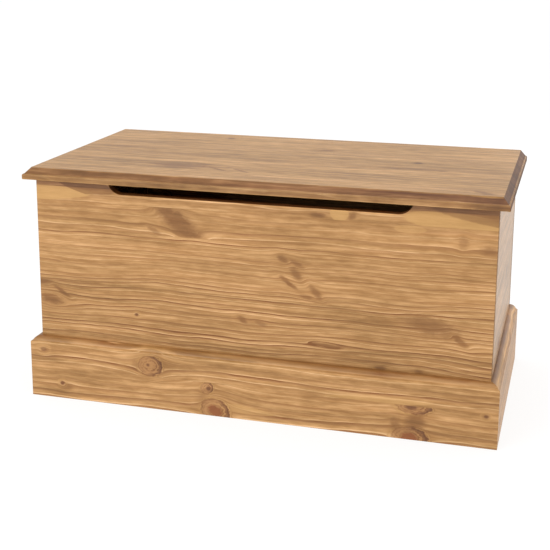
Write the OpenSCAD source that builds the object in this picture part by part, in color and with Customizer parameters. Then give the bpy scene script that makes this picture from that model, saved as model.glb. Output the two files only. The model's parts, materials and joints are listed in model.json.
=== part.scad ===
// Pine storage chest with a moulded lid on a piano hinge, a routed finger recess and a mitred plinth.
// Frame: X runs along the chest, -Y is the front, +Z is up. The origin is on the floor, at the
// middle of the whole object's width and depth.

/* [Carcass] */
// Width of the front and back panels
carcass_w = 810; // [800:10:1000]
// Depth from the front face to the back face
carcass_d = 420; // [380:10:500]
// Height of the top edge of the front and side panels above the floor
carcass_h = 404.5; // [380:0.5:500]
// Thickness of the front, back and side panels
panel_t = 18; // [16:1:20]
// Gap between the floor and the panels, which stand on the plinth
carcass_lift = 2; // [1:0.5:4]

/* [Lid] */
// Thickness of the lid panel
lid_t = 20.5; // [20:0.5:24]
// Overhang of the lid past each side panel
lid_side_overhang = 18; // [13:1:25]
// Overhang of the lid past the front panel
lid_front_overhang = 18; // [17:1:25]
// Clearance between the closed lid and the panels under it
lid_gap = 0.5; // [0.3:0.1:1]
// Angle that the lid opens to, where the stays stop it
lid_open = 95; // [85:1:100]

/* [Finger recess] */
// Length of the flat bottom of the recess
recess_flat = 486; // [300:2:560]
// Depth of the recess below the panel's top edge
recess_depth = 20; // [14:1:24]
// Radius of the recess's ends
recess_r = 25; // [24:1:40]

/* [Plinth] */
// Height of the plinth
plinth_h = 113; // [80:1:140]
// Thickness of the plinth boards
plinth_t = 16; // [16:1:20]

/* [Piano hinge] */
// Length of one knuckle along the pin, with its gap
knuckle_pitch = 20; // [18:1:20]
// Number of knuckles, an odd number
knuckle_count = 39; // [31:2:39]
// Width of one leaf, from the pin's axis to its free edge
leaf_w = 16; // [15:0.5:17]
// Thickness of the leaf
leaf_t = 1; // [0.8:0.1:1]
// Diameter of the hinge pin
pin_d = 2.4; // [2.2:0.1:2.6]
// Spacing of the screws along each leaf
hinge_screw_pitch = 60; // [55:1:60]

/* [Lid stays] */
// Distance from the hinge axis to the stay's lid pivot, and to its stud
stay_r = 170; // [150:1:180]
// Width of the slotted arm
stay_arm_w = 16; // [14:1:18]
// Thickness of the stay's metal
stay_t = 2; // [1.5:0.5:2]

/* [Hidden] */
$fn = 48;
eps = 0.01;

pine = "#c99a63";
pine_inside = "#d8b37c";
plywood = "#c8a878";
brass = "#c9a24a";
zinc = "#b9bcc0";

// The hinge's section: the leaves lie at a tangent to the knuckles, so the closed hinge is one knuckle thick.
pin_gap = 0.05;
bore_r = pin_d / 2 + pin_gap;
knuckle_r = bore_r + leaf_t;
knuckle_end_gap = 0.3;
hinge_out = 0.75;
hinge_l = knuckle_pitch * knuckle_count;
pin_l = hinge_l + 0.6;
screw_tip_r = 0.3;

// Depth positions, which put the origin in the middle of the object's depth
front_y = (lid_front_overhang - carcass_d - hinge_out - knuckle_r) / 2;
back_y = front_y + carcass_d;
inner_front_y = front_y + panel_t;
inner_back_y = back_y - panel_t;
inner_x = carcass_w / 2 - panel_t;

// Heights
lid_z = carcass_h + lid_gap;
hinge_z = lid_z - knuckle_r;
hinge_y = back_y + hinge_out;
back_panel_top = lid_z - 2 * knuckle_r;

// Lid edge moulding: a bevel above a small shoulder and a rounded nose
bevel_w = 12;
bevel_step = 0.8;
nose_z = 7.5;
nose_r = 2.4;
shoulder = 0.6;

// Plinth moulding: a quarter round above a small shoulder and a rounded nose
ovolo_r = 12;
ovolo_sweep = 75;
plinth_ledge = 1.5;
plinth_nose_r = 1.5;
arc_steps = 10;

// Bottom: a plywood sheet on four battens
batten_w = 20;
batten_z = 20;
base_t = 6;
base_gap = 0.5;
base_z = batten_z + batten_w;
base_top = base_z + base_t;
plinth_screw_z = 11;

// Corner posts
post_w = 30;
post_top = carcass_h - 26;
post_gap = 0.2;

// Lid battens
lid_batten_x = 250;
lid_batten_w = 45;
lid_batten_t = 16;
lid_batten_margin = 22;
lid_batten_chamfer = 5;

// Lid stays. The lid pivot and the stud are the same distance from the hinge axis, so the arm always
// turns through half of the lid's angle, and its slot slides along the stud.
pivot_drop = 6;
stud_drop = 22;
stay_slot_w = 6.6;
stud_r = 3;
stud_head_r = 6;
stud_collar_r = 4.5;
stud_shoulder_gap = 1;
slot_end_gap = 0.4;
rivet_r = 2.5;
rivet_head_r = 4.5;
rivet_head_t = 1.5;
rivet_gap = 0.02;
arm_side_gap = 6.5;
arm_x = inner_x - arm_side_gap;
ear_gap = 0.5;
bracket_l = 36;
bracket_flange = 22;
bracket_screw_in = 14;
ear_w = 18;
stay_plate_l = 44;
stay_plate_w = 18;
pivot_y = hinge_y - stay_r * cos(pivot_drop);
pivot_z = hinge_z - stay_r * sin(pivot_drop);
stud_y = hinge_y - stay_r * cos(stud_drop);
stud_z = hinge_z - stay_r * sin(stud_drop);
reach_closed = 2 * stay_r * sin((stud_drop - pivot_drop) / 2);
reach_open = 2 * stay_r * sin((lid_open + stud_drop - pivot_drop) / 2);
arm_tilt = (pivot_drop + stud_drop) / 2;

// Screws: [diameter, length, head diameter]
HINGE_SCREW = [3, 14, 5.8];
STAY_SCREW = [3, 12, 5.8];
POST_SCREW = [4, 40, 7.8];
BATTEN_SCREW = [4, 32, 7.8];
BASE_SCREW = [3, 18, 5.8];
PLINTH_SCREW = [4, 28, 7.8];
LID_SCREW = [4, 28, 7.8];
hole_gap = 0.05;

// The way a screw is driven
DOWN = [0, 0, 0];
UP = [180, 0, 0];
TO_BACK = [90, 0, 0];
TO_FRONT = [-90, 0, 0];
TO_LEFT = [0, 90, 0];
TO_RIGHT = [0, -90, 0];

// Places in a row about the middle, for screws that repeat
function spaced(count, pitch) = [for (i = [0 : count - 1]) (i - (count - 1) / 2) * pitch];

hinge_screw_margin = 10;
hinge_screw_count = floor((hinge_l - 2 * hinge_screw_margin) / hinge_screw_pitch) + 1;
hinge_screw_x = spaced(hinge_screw_count, hinge_screw_pitch);
hinge_screw_y = hinge_y - 9.5;
post_screw_inset = 60;
post_side_screw_inset = 90;
long_batten_screw_x = spaced(3, 260);
short_batten_screw_y = spaced(2, 180);
base_screw_x = spaced(4, 190);
plinth_screw_x = spaced(4, 200);
plinth_screw_y = spaced(3, 130);
lid_batten_screw_y = spaced(3, 130);
bracket_screw_y = spaced(2, 22);
stay_plate_screw_z = spaced(2, 30);

// Each screw is [where the middle of its head lies, the way it is driven].
HINGE_SCREWS_BOX = [for (x = hinge_screw_x)
    [[x, hinge_screw_y, back_panel_top + leaf_t], DOWN]];
HINGE_SCREWS_LID = [for (x = hinge_screw_x)
    [[x, hinge_screw_y, lid_z - leaf_t], UP]];

// Distance in from the front (sy = -1) or back (sy = 1) panel, as a place
function in_from(sy, distance) = sy < 0 ? inner_front_y + distance : inner_back_y - distance;

POST_SCREWS = [for (sx = [-1, 1], sy = [-1, 1]) each concat(
    [for (z = [base_top + post_screw_inset, post_top - post_screw_inset])
        [[sx * (inner_x - post_w / 2), in_from(sy, post_w), z], sy < 0 ? TO_FRONT : TO_BACK]],
    [for (z = [base_top + post_side_screw_inset, post_top - post_side_screw_inset])
        [[sx * (inner_x - post_w), in_from(sy, post_w / 2), z], sx < 0 ? TO_LEFT : TO_RIGHT]])];

batten_mid_z = batten_z + batten_w / 2;
inner_mid_y = (inner_front_y + inner_back_y) / 2;
BATTEN_SCREWS = concat(
    [for (x = long_batten_screw_x) [[x, inner_front_y + batten_w, batten_mid_z], TO_FRONT]],
    [for (x = long_batten_screw_x) [[x, inner_back_y - batten_w, batten_mid_z], TO_BACK]],
    [for (y = short_batten_screw_y) [[-inner_x + batten_w, inner_mid_y + y, batten_mid_z], TO_LEFT]],
    [for (y = short_batten_screw_y) [[inner_x - batten_w, inner_mid_y + y, batten_mid_z], TO_RIGHT]]);

BASE_SCREWS = concat(
    [for (x = base_screw_x) [[x, inner_front_y + batten_w / 2, base_top], DOWN]],
    [for (x = base_screw_x) [[x, inner_back_y - batten_w / 2, base_top], DOWN]],
    [for (s = [-1, 1]) [[s * (inner_x - batten_w / 2), inner_mid_y, base_top], DOWN]]);

PLINTH_SCREWS = concat(
    [for (x = plinth_screw_x) [[x, inner_front_y, plinth_screw_z], TO_FRONT]],
    [for (y = plinth_screw_y) [[-inner_x, inner_mid_y + y, plinth_screw_z], TO_LEFT]],
    [for (y = plinth_screw_y) [[inner_x, inner_mid_y + y, plinth_screw_z], TO_RIGHT]]);

LID_BATTEN_SCREWS = [for (s = [-1, 1], y = lid_batten_screw_y)
    [[s * lid_batten_x, inner_mid_y + y, lid_z - lid_batten_t], UP]];

STAY_BRACKET_SCREWS = [for (s = [-1, 1], y = bracket_screw_y)
    [[s * (arm_x - stay_t - bracket_screw_in), pivot_y + y, lid_z - stay_t], UP]];
STAY_PLATE_SCREWS = [for (s = [-1, 1], z = stay_plate_screw_z)
    [[s * (inner_x - stay_t), stud_y, stud_z + z], s < 0 ? TO_LEFT : TO_RIGHT]];

// One countersunk screw, its head flush at the origin and its point towards -Z
module screw(size, gap = 0) {
    d = size[0];
    head = size[2];
    head_h = (head - d) / 2;
    translate([0, 0, -head_h])
        cylinder(h = head_h, r1 = d / 2 + gap, r2 = head / 2 + gap);
    translate([0, 0, -size[1] + d])
        cylinder(h = size[1] - d - head_h + eps, r = d / 2 + gap);
    translate([0, 0, -size[1]])
        cylinder(h = d + eps, r1 = screw_tip_r, r2 = d / 2 + gap);
}

module screws(places, size) {
    for (p = places)
        translate(p[0]) rotate(p[1]) screw(size);
}

module screw_holes(places, size) {
    for (p = places)
        translate(p[0]) rotate(p[1]) screw(size, hole_gap);
}

module box_between(low, high) {
    translate(low) cube(high - low);
}

function arc(centre, r, from, to) = [for (i = [0 : arc_steps])
    let (a = from + (to - from) * i / arc_steps) centre + r * [cos(a), sin(a)]];

// Section of the lid's moulded edge: x runs inwards from the outermost edge, y is up.
function lid_edge() = concat(
    [[0, 0]],
    arc([nose_r, nose_z], nose_r, 180, 90),
    [[nose_r + shoulder, nose_z + nose_r], [bevel_w, lid_t - bevel_step], [bevel_w, lid_t]]);

// Section of the plinth: x runs inwards from the outer face, y is up.
function plinth_section() = let (
    centre = [plinth_t - plinth_ledge, plinth_h - ovolo_r],
    ovolo_end = centre + ovolo_r * [-sin(ovolo_sweep), cos(ovolo_sweep)])
    concat(
        [[plinth_t, 0], [0, 0]],
        arc([plinth_nose_r, ovolo_end[1] - plinth_nose_r], plinth_nose_r, 180, 90),
        arc(centre, ovolo_r, 90 + ovolo_sweep, 90),
        [[plinth_t, plinth_h]]);

function mirrored(points) = [for (i = [len(points) - 1 : -1 : 0]) [-points[i][0], points[i][1]]];
function moved(points, by) = [for (p = points) p + by];

module front_panel() {
    color(pine)
    difference() {
        box_between([-carcass_w / 2, front_y, carcass_lift], [carcass_w / 2, inner_front_y, carcass_h]);
        box_between([-recess_flat / 2, front_y - 1, carcass_h - recess_depth],
            [recess_flat / 2, inner_front_y + 1, carcass_h + 1]);
        for (s = [-1, 1])
            translate([s * recess_flat / 2, front_y - 1, carcass_h - recess_depth + recess_r])
                rotate([-90, 0, 0]) cylinder(h = panel_t + 2, r = recess_r);
        screw_holes(POST_SCREWS, POST_SCREW);
        screw_holes(BATTEN_SCREWS, BATTEN_SCREW);
        screw_holes(PLINTH_SCREWS, PLINTH_SCREW);
    }
}

module back_panel() {
    color(pine)
    difference() {
        box_between([-carcass_w / 2, inner_back_y, carcass_lift], [carcass_w / 2, back_y, back_panel_top]);
        screw_holes(POST_SCREWS, POST_SCREW);
        screw_holes(BATTEN_SCREWS, BATTEN_SCREW);
        screw_holes(HINGE_SCREWS_BOX, HINGE_SCREW);
    }
}

module side_panel(s) {
    color(pine)
    difference() {
        box_between([min(s * inner_x, s * carcass_w / 2), inner_front_y, carcass_lift],
            [max(s * inner_x, s * carcass_w / 2), inner_back_y, carcass_h]);
        screw_holes(POST_SCREWS, POST_SCREW);
        screw_holes(BATTEN_SCREWS, BATTEN_SCREW);
        screw_holes(PLINTH_SCREWS, PLINTH_SCREW);
        screw_holes(STAY_PLATE_SCREWS, STAY_SCREW);
    }
}

module base_panel() {
    color(plywood)
    difference() {
        box_between([-inner_x + base_gap, inner_front_y + base_gap, base_z],
            [inner_x - base_gap, inner_back_y - base_gap, base_top]);
        screw_holes(BASE_SCREWS, BASE_SCREW);
    }
}

// A batten along the front (s = -1) or back (s = 1) panel
module long_batten(s) {
    y = s < 0 ? inner_front_y : inner_back_y - batten_w;
    color(pine_inside)
    difference() {
        box_between([-inner_x, y, batten_z], [inner_x, y + batten_w, base_z]);
        screw_holes(BATTEN_SCREWS, BATTEN_SCREW);
        screw_holes(BASE_SCREWS, BASE_SCREW);
    }
}

// A batten along the left (s = -1) or right (s = 1) side panel
module short_batten(s) {
    x = s < 0 ? -inner_x : inner_x - batten_w;
    color(pine_inside)
    difference() {
        box_between([x, inner_front_y + batten_w + base_gap, batten_z],
            [x + batten_w, inner_back_y - batten_w - base_gap, base_z]);
        screw_holes(BATTEN_SCREWS, BATTEN_SCREW);
        screw_holes(BASE_SCREWS, BASE_SCREW);
    }
}

module corner_post(sx, sy) {
    x = sx < 0 ? -inner_x : inner_x - post_w;
    y = sy < 0 ? inner_front_y : inner_back_y - post_w;
    color(pine_inside)
    difference() {
        box_between([x, y, base_top + post_gap], [x + post_w, y + post_w, post_top]);
        screw_holes(POST_SCREWS, POST_SCREW);
    }
}

module plinth_front() {
    half = carcass_w / 2 + plinth_t;
    color(pine)
    difference() {
        translate([-half, front_y - plinth_t, 0])
            rotate([90, 0, 90]) linear_extrude(height = 2 * half) polygon(plinth_section());
        for (s = [-1, 1])
            translate([s * carcass_w / 2, front_y, -1]) mirror([s < 0 ? 1 : 0, 0, 0])
                linear_extrude(height = plinth_h + 2)
                    polygon([[0, 0], [2 * plinth_t, -2 * plinth_t], [2 * plinth_t, 0]]);
        screw_holes(PLINTH_SCREWS, PLINTH_SCREW);
    }
}

module plinth_side(s) {
    color(pine)
    difference() {
        mirror([s < 0 ? 0 : 1, 0, 0])
            translate([-carcass_w / 2 - plinth_t, back_y, 0])
                rotate([90, 0, 0]) linear_extrude(height = carcass_d + plinth_t) polygon(plinth_section());
        translate([s * carcass_w / 2, front_y, -1]) mirror([s < 0 ? 1 : 0, 0, 0])
            linear_extrude(height = plinth_h + 2)
                polygon([[-1, 1], [-1, -2 * plinth_t], [2 * plinth_t, -2 * plinth_t]]);
        screw_holes(PLINTH_SCREWS, PLINTH_SCREW);
    }
}

module lid_panel() {
    w = carcass_w / 2 + lid_side_overhang;
    front = front_y - lid_front_overhang;
    edge = lid_edge();
    color(pine)
    difference() {
        intersection() {
            translate([-w, 0, lid_z]) rotate([90, 0, 90]) linear_extrude(height = 2 * w)
                polygon(concat([[back_y, 0]], moved(edge, [front, 0]), [[back_y, lid_t]]));
            translate([0, back_y, lid_z]) rotate([90, 0, 0]) linear_extrude(height = back_y - front)
                polygon(concat(moved(edge, [-w, 0]), moved(mirrored(edge), [w, 0])));
        }
        screw_holes(HINGE_SCREWS_LID, HINGE_SCREW);
        screw_holes(LID_BATTEN_SCREWS, LID_SCREW);
        screw_holes(STAY_BRACKET_SCREWS, STAY_SCREW);
    }
}

module lid_batten(s) {
    low = inner_front_y + lid_batten_margin;
    high = inner_back_y - lid_batten_margin;
    c = lid_batten_chamfer;
    color(pine_inside)
    difference() {
        translate([s * lid_batten_x - lid_batten_w / 2, 0, lid_z]) rotate([90, 0, 90])
            linear_extrude(height = lid_batten_w)
                polygon([[low, 0], [high, 0], [high, c - lid_batten_t], [high - c, -lid_batten_t],
                    [low + c, -lid_batten_t], [low, c - lid_batten_t]]);
        screw_holes(LID_BATTEN_SCREWS, LID_SCREW);
    }
}

// A leaf in the closed hinge, lying on the side s of the pin (-1 below, 1 above). Its first knuckle is
// number `first`, and it has every other one.
module hinge_leaf(s, first, places) {
    plate_from = knuckle_r + 0.35;
    tab_lap = 1;
    tab_inset = 0.05;
    plate_z = s < 0 ? hinge_z - knuckle_r : hinge_z + bore_r;
    color(brass)
    difference() {
        union() {
            box_between([-hinge_l / 2, hinge_y - leaf_w, plate_z],
                [hinge_l / 2, hinge_y - plate_from, plate_z + leaf_t]);
            for (i = [first : 2 : knuckle_count - 1])
                translate([-hinge_l / 2 + i * knuckle_pitch + knuckle_end_gap / 2, hinge_y, 0]) {
                    box_between([0, -plate_from - tab_lap, plate_z + tab_inset],
                        [knuckle_pitch - knuckle_end_gap, 0, plate_z + leaf_t - tab_inset]);
                    translate([0, 0, hinge_z]) rotate([0, 90, 0])
                        cylinder(h = knuckle_pitch - knuckle_end_gap, r = knuckle_r);
                }
        }
        translate([-hinge_l / 2 - 1, hinge_y, hinge_z]) rotate([0, 90, 0])
            cylinder(h = hinge_l + 2, r = bore_r);
        screw_holes(places, HINGE_SCREW);
    }
}

module hinge_pin() {
    color(zinc)
    translate([-pin_l / 2, hinge_y, hinge_z]) rotate([0, 90, 0]) cylinder(h = pin_l, r = pin_d / 2);
}

// Places a part of the stay that is drawn in the stay's own plane: x towards the back, y up, and z
// from the arm's outer face towards the middle of the chest.
module in_stay_plane(s) {
    mirror([s < 0 ? 0 : 1, 0, 0])
        translate([-arm_x, 0, 0]) rotate([90, 0, 90]) children();
}

module stay_arm(s) {
    slot_from = reach_closed - stud_r - slot_end_gap;
    slot_to = reach_open + stud_r + slot_end_gap;
    end_wall = (stay_arm_w - stay_slot_w) / 2;
    arm_l = slot_to - stay_slot_w / 2 + end_wall;
    color(zinc)
    in_stay_plane(s) translate([pivot_y, pivot_z, 0]) rotate([0, 0, arm_tilt - 90])
    difference() {
        union() {
            translate([0, -stay_arm_w / 2, 0]) cube([arm_l, stay_arm_w, stay_t]);
            for (x = [0, arm_l])
                translate([x, 0, 0]) cylinder(h = stay_t, r = stay_arm_w / 2);
        }
        translate([0, 0, -1]) cylinder(h = stay_t + 2, r = rivet_r + pin_gap);
        translate([slot_from + stay_slot_w / 2, -stay_slot_w / 2, -1])
            cube([slot_to - slot_from - stay_slot_w, stay_slot_w, stay_t + 2]);
        for (x = [slot_from + stay_slot_w / 2, slot_to - stay_slot_w / 2])
            translate([x, 0, -1]) cylinder(h = stay_t + 2, r = stay_slot_w / 2);
    }
}

// The angle bracket under the lid that the arm hangs from
module stay_bracket(s) {
    ear = stay_t + ear_gap;
    color(zinc)
    difference() {
        in_stay_plane(s) {
            translate([pivot_y - bracket_l / 2, lid_z - stay_t, ear])
                cube([bracket_l, stay_t, bracket_flange]);
            translate([pivot_y - ear_w / 2, pivot_z, ear])
                cube([ear_w, lid_z - stay_t / 2 - pivot_z, stay_t]);
            translate([pivot_y, pivot_z, ear]) cylinder(h = stay_t, r = ear_w / 2);
        }
        in_stay_plane(s) translate([pivot_y, pivot_z, ear - 1])
            cylinder(h = stay_t + 2, r = rivet_r + rivet_gap);
        screw_holes(STAY_BRACKET_SCREWS, STAY_SCREW);
    }
}

module stay_rivet(s) {
    outer = -ear_gap - rivet_head_t;
    inner = 2 * stay_t + ear_gap;
    color(zinc)
    in_stay_plane(s) translate([pivot_y, pivot_z, 0]) {
        translate([0, 0, outer]) cylinder(h = rivet_head_t, r = rivet_head_r);
        translate([0, 0, outer + eps]) cylinder(h = inner - outer + rivet_head_t / 2, r = rivet_r);
        translate([0, 0, inner]) cylinder(h = rivet_head_t, r = rivet_head_r);
    }
}

// The plate on the side panel that carries the stud
module stay_plate(s) {
    color(zinc)
    difference() {
        in_stay_plane(s) translate([stud_y, stud_z, -arm_side_gap]) {
            translate([-stay_plate_w / 2, -stay_plate_l / 2, 0])
                cube([stay_plate_w, stay_plate_l, stay_t]);
        }
        in_stay_plane(s) translate([stud_y, stud_z, -arm_side_gap - 1])
            cylinder(h = stay_t + 2, r = stud_r + rivet_gap);
        screw_holes(STAY_PLATE_SCREWS, STAY_SCREW);
    }
}

// The shoulder stud that the arm's slot slides along
module stay_stud(s) {
    head = stay_t + stud_shoulder_gap;
    collar = -arm_side_gap + stay_t;
    color(zinc)
    in_stay_plane(s) translate([stud_y, stud_z, 0]) {
        translate([0, 0, eps - arm_side_gap]) cylinder(h = head + arm_side_gap, r = stud_r);
        translate([0, 0, collar]) cylinder(h = -stud_shoulder_gap - collar, r = stud_collar_r);
        translate([0, 0, head]) cylinder(h = stay_t, r = stud_head_r);
    }
}

module metal_screws(places, size, metal) {
    color(metal) screws(places, size);
}

front_panel();
back_panel();
side_panel(-1);  // left_side_panel
side_panel(1);  // right_side_panel
base_panel();
long_batten(-1);  // base_batten_front
long_batten(1);  // base_batten_back
short_batten(-1);  // base_batten_left
short_batten(1);  // base_batten_right
corner_post(-1, -1);  // corner_post_front_left
corner_post(1, -1);  // corner_post_front_right
corner_post(-1, 1);  // corner_post_back_left
corner_post(1, 1);  // corner_post_back_right
plinth_front();
plinth_side(-1);  // plinth_left
plinth_side(1);  // plinth_right
lid_panel();
lid_batten(-1);  // lid_batten_left
lid_batten(1);  // lid_batten_right
hinge_leaf(-1, 0, HINGE_SCREWS_BOX);  // hinge_leaf_box
hinge_leaf(1, 1, HINGE_SCREWS_LID);  // hinge_leaf_lid
hinge_pin();
metal_screws(HINGE_SCREWS_BOX, HINGE_SCREW, brass);  // hinge_screws_box
metal_screws(HINGE_SCREWS_LID, HINGE_SCREW, brass);  // hinge_screws_lid
stay_arm(-1);  // stay_arm_left
stay_arm(1);  // stay_arm_right
stay_bracket(-1);  // stay_bracket_left
stay_bracket(1);  // stay_bracket_right
stay_rivet(-1);  // stay_rivet_left
stay_rivet(1);  // stay_rivet_right
stay_plate(-1);  // stay_plate_left
stay_plate(1);  // stay_plate_right
stay_stud(-1);  // stay_stud_left
stay_stud(1);  // stay_stud_right
metal_screws(STAY_BRACKET_SCREWS, STAY_SCREW, zinc);  // stay_bracket_screws
metal_screws(STAY_PLATE_SCREWS, STAY_SCREW, zinc);  // stay_plate_screws
metal_screws(POST_SCREWS, POST_SCREW, zinc);  // corner_post_screws
metal_screws(BATTEN_SCREWS, BATTEN_SCREW, zinc);  // base_batten_screws
metal_screws(BASE_SCREWS, BASE_SCREW, zinc);  // base_panel_screws
metal_screws(PLINTH_SCREWS, PLINTH_SCREW, zinc);  // plinth_screws
metal_screws(LID_BATTEN_SCREWS, LID_SCREW, zinc);  // lid_batten_screws
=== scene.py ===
"""The looks of a waxed pine storage chest with a piano-hinged lid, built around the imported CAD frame."""
import json
import math
import random

import bmesh
import bpy
from mathutils import Matrix, Vector


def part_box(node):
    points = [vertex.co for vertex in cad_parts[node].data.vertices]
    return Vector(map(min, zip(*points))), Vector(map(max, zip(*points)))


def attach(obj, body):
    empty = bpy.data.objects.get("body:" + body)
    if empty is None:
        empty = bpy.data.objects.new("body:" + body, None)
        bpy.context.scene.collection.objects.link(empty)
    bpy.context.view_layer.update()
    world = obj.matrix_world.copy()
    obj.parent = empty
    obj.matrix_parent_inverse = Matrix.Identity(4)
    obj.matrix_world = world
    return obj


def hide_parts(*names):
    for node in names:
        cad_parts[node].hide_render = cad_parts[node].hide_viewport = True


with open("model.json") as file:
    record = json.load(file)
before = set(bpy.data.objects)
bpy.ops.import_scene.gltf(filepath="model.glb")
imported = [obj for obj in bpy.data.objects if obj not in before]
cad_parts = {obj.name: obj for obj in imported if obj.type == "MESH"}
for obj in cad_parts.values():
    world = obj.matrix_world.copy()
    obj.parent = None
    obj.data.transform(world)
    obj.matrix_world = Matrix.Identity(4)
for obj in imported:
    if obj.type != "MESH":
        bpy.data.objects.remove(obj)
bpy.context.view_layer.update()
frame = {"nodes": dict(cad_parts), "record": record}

MM = 0.001
record = frame["record"]


# ---------------------------------------------------------------- camera, light and floor

CAMERA_PLACE = (0.5246, -1.9790, 0.8223)
CAMERA_HEADING = -15.42
CAMERA_PITCH = 12.82
CAMERA_ROLL = 0.32
CAMERA_LENS = 74.0
CAMERA_SHIFT_Y = -0.1455

SKY = 0.80
LAMPS = {  # place, size and power
    "key": ((-1.3, -2.7, 1.5), 1.6, 26),
    "top": ((0.2, 0.1, 2.6), 1.8, 10),
    "rim": ((0.9, 3.0, 0.6), 1.2, 5.0),
}
FLOOR_COLOUR = 0.25
FLOOR_GLOW = 0.81


def make_camera():
    """Heading turns from +Y towards +X, pitch looks down, and roll is clockwise as the camera sees it."""
    heading, pitch, roll = map(math.radians, (CAMERA_HEADING, CAMERA_PITCH, CAMERA_ROLL))
    forward = Vector((math.sin(heading) * math.cos(pitch), math.cos(heading) * math.cos(pitch),
                      -math.sin(pitch)))
    right = Vector((math.cos(heading), -math.sin(heading), 0))
    up = right.cross(forward)
    turned_right = right * math.cos(roll) + up * math.sin(roll)
    turned_up = up * math.cos(roll) - right * math.sin(roll)
    camera = bpy.data.objects.new("camera", bpy.data.cameras.new("camera"))
    camera.data.lens = CAMERA_LENS
    camera.data.shift_y = CAMERA_SHIFT_Y
    camera.data.clip_end = 100
    camera.matrix_world = Matrix.Translation(CAMERA_PLACE) @ Matrix(
        (turned_right, turned_up, -forward)).transposed().to_4x4()
    bpy.context.scene.collection.objects.link(camera)
    bpy.context.scene.camera = camera


def make_light():
    """A white studio with soft lamps in front to the left, overhead, and behind to the right."""
    world = bpy.data.worlds.new("studio")
    world.use_nodes = True
    background = world.node_tree.nodes["Background"]
    background.inputs["Color"].default_value = (1, 1, 1, 1)
    # The sky lights the chest with its own strength, and looks as white as the floor to the camera.
    ray = world.node_tree.nodes.new("ShaderNodeLightPath")
    strength = world.node_tree.nodes.new("ShaderNodeMapRange")
    strength.inputs["To Min"].default_value = SKY
    strength.inputs["To Max"].default_value = 1.0
    world.node_tree.links.new(ray.outputs["Is Camera Ray"], strength.inputs["Value"])
    world.node_tree.links.new(strength.outputs["Result"], background.inputs["Strength"])
    bpy.context.scene.world = world
    for name, (place, size, power) in LAMPS.items():
        lamp = bpy.data.objects.new(name, bpy.data.lights.new(name, "AREA"))
        lamp.data.size = size
        lamp.data.energy = power
        lamp.location = place
        lamp.rotation_euler = (-Vector(place)).to_track_quat("-Z", "Y").to_euler()
        lamp.visible_camera = False
        bpy.context.scene.collection.objects.link(lamp)
    bpy.context.scene.view_settings.view_transform = "Standard"


def make_floor():
    """A grey table with a white glow of its own, so that it looks white and takes only a faint shadow."""
    half_size = 30
    bm = bmesh.new()
    corners = ((-1, -1), (1, -1), (1, 1), (-1, 1))
    bm.faces.new([bm.verts.new((x * half_size, y * half_size, 0)) for x, y in corners])
    floor = link_mesh("floor", bm)
    material = bpy.data.materials.new("floor")
    material.use_nodes = True
    shader = material.node_tree.nodes["Principled BSDF"]
    shader.inputs["Base Color"].default_value = (FLOOR_COLOUR, FLOOR_COLOUR, FLOOR_COLOUR, 1)
    shader.inputs["Roughness"].default_value = 1.0
    shader.inputs["Specular IOR Level"].default_value = 0.0
    shader.inputs["Emission Color"].default_value = (1, 1, 1, 1)
    shader.inputs["Emission Strength"].default_value = FLOOR_GLOW
    floor.data.materials.append(material)


# ---------------------------------------------------------------- meshes

def link_mesh(name, bm):
    bmesh.ops.recalc_face_normals(bm, faces=bm.faces)
    mesh = bpy.data.meshes.new(name)
    bm.to_mesh(mesh)
    bm.free()
    piece = bpy.data.objects.new(name, mesh)
    bpy.context.scene.collection.objects.link(piece)
    return piece


def stand_for(node, bm, material, smooth_angle=35):
    """Makes bm the shown piece for a CAD node, riding on the node's body."""
    piece = link_mesh(node + "_shown", bm)
    piece.data.materials.append(material)
    piece.data.shade_smooth()
    piece.data.set_sharp_from_angle(angle=math.radians(smooth_angle))
    normals = piece.modifiers.new("normals", "WEIGHTED_NORMAL")
    normals.keep_sharp = True
    body = next(b for b, nodes in record["behaviour"]["bodies"].items() if node in nodes)
    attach(piece, body)
    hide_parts(node)
    return piece


CAD_SEAM = 0.002 * MM    # points of a CAD mesh that are closer than this are one point
BEVEL_SEAM = 0.001 * MM  # the same for the points in which a bevel round a hole may end
FLAT = math.radians(0.2)
SHARP = math.radians(50)


def eased_copy(node, width, segments=3):
    """The CAD node's own shape, with every edge that is sharper than SHARP rounded."""
    bm = bmesh.new()
    bm.from_mesh(frame["nodes"][node].data)
    bmesh.ops.remove_doubles(bm, verts=bm.verts, dist=CAD_SEAM)
    bmesh.ops.dissolve_limit(bm, angle_limit=FLAT, verts=bm.verts, edges=bm.edges)
    sharp = [e for e in bm.edges if len(e.link_faces) == 2 and e.calc_face_angle() > SHARP]
    bmesh.ops.bevel(bm, geom=sharp, offset=width, segments=segments, profile=0.5, affect="EDGES",
                    clamp_overlap=True)
    bmesh.ops.remove_doubles(bm, verts=bm.verts, dist=BEVEL_SEAM)
    bmesh.ops.dissolve_degenerate(bm, edges=bm.edges, dist=BEVEL_SEAM)
    return bm


def skin(bm, a, b):
    """Faces between two closed rings that have the same number of points."""
    for i in range(len(a)):
        j = (i + 1) % len(a)
        bm.faces.new((a[i], a[j], b[j], b[i]))


def loft(sections):
    """A closed solid through sections that have the same number of points; the first and last are capped."""
    bm = bmesh.new()
    rings = [[bm.verts.new(p) for p in section] for section in sections]
    for a, b in zip(rings, rings[1:]):
        skin(bm, a, b)
    bm.faces.new(list(reversed(rings[0])))
    bm.faces.new(rings[-1])
    return bm


def arc(centre, radius, start, end, steps):
    """Points on an arc in a plane; angles are in degrees."""
    angles = [math.radians(start + (end - start) * i / steps) for i in range(steps + 1)]
    return [(centre[0] + radius * math.cos(a), centre[1] + radius * math.sin(a)) for a in angles]


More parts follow.
